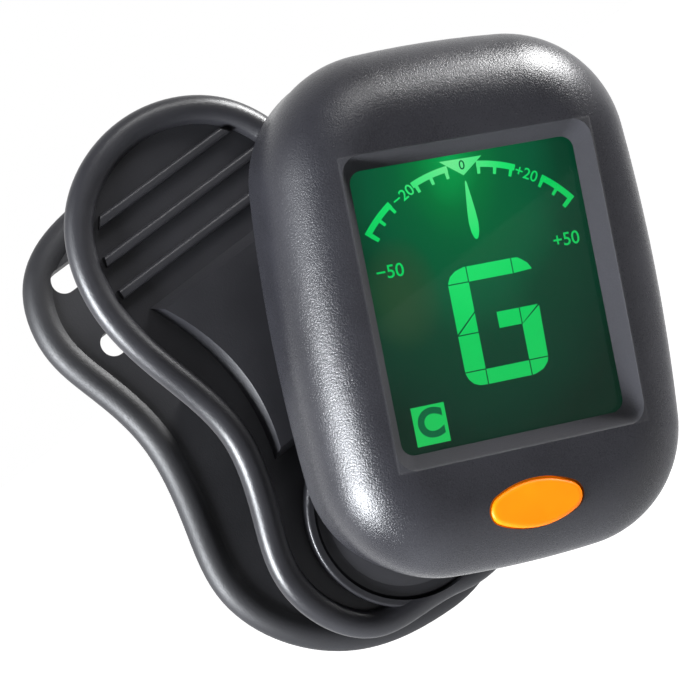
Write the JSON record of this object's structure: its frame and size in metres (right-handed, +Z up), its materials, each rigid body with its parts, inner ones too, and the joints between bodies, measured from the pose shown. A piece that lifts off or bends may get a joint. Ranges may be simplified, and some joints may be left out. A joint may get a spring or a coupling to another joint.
{
  "type": "clip-on tuner",
  "caption": "Clip-on tuner: a tall rounded display head on a swivel and tilt joint, carried by a spring clip with two waisted levers and padded jaws.",
  "frame": {"origin": "middle of the grip between the two closed jaw pads, on the axis of the swivel socket", "axes": "+X across the clip, to the right seen from the display side; +Y from the display to the back lever; +Z up the levers to the finger grips"},
  "size_m": [0.0589, 0.0464, 0.0673],
  "materials": {
    "shell_charcoal": "satin, fine grain",
    "clip_black": "satin gloss",
    "button_orange": "satin",
    "lens": "clear, polished",
    "lcd": "lit from behind",
    "light_guide": "translucent",
    "led": "lit",
    "white_plastic": "moulded",
    "soft_rubber": "matte",
    "board": "solder mask",
    "chip": "moulded",
    "brass": "bright",
    "steel": "plain",
    "cell_steel": "plain"
  },
  "bodies": {
    "clip": {"front_lever": "clip_black", "front_pad": "soft_rubber", "pivot_pin": "steel", "torsion_spring": "steel"},
    "back_clip": {"back_lever": "clip_black", "back_pad": "soft_rubber"},
    "swivel": {"swivel_base": "clip_black", "tilt_pin": "steel", "swivel_washer": "steel", "swivel_screw": "steel"},
    "head": {"front_shell": "shell_charcoal", "rear_shell": "shell_charcoal", "display_lens": "lens", "lcd_glass": "lcd", "backlight_panel": "light_guide", "lcd_frame": "white_plastic", "zebra_strip": "soft_rubber", "circuit_board": "board", "processor_chip": "chip", "backlight_led": "led", "tact_switch": "steel", "piezo_disc": "brass", "battery_tray": "white_plastic", "coin_cell": "cell_steel", "negative_contact": "brass", "positive_contact": "brass", "case_screws": "steel"},
    "button": {"power_button": "button_orange"},
    "door": {"battery_door": "shell_charcoal"}
  },
  "joints": [
    {"name": "clip_hinge", "type": "hinge", "parent": "clip", "child": "back_clip", "pos_m": [0, 0.001, 0.017], "axis": [1, 0, 0], "range_deg": [0, 22], "stiffness_Nm_per_rad": 0.15, "springref_deg": -45.84, "deforming": ["torsion_spring"]},
    {"name": "head_swivel", "type": "hinge", "parent": "clip", "child": "swivel", "pos_m": [0, -0.006, 0], "axis": [0, 1, 0], "continuous": true},
    {"name": "head_tilt", "type": "hinge", "parent": "swivel", "child": "head", "pos_m": [0.00526, -0.01167, -0.00258], "axis": [0.4408, 0, 0.8976], "range_deg": [-11.5, 18.5]},
    {"name": "power_press", "type": "slide", "parent": "head", "child": "button", "axis": [0.0549, 0.9981, -0.0269], "range_m": [0, 0.0004], "stiffness_N_per_m": 400, "springref_m": -0.0004},
    {"name": "door_slide", "type": "slide", "parent": "head", "child": "door", "axis": [0.4408, 0, 0.8976], "range_m": [0, 0.033]}
  ]
}
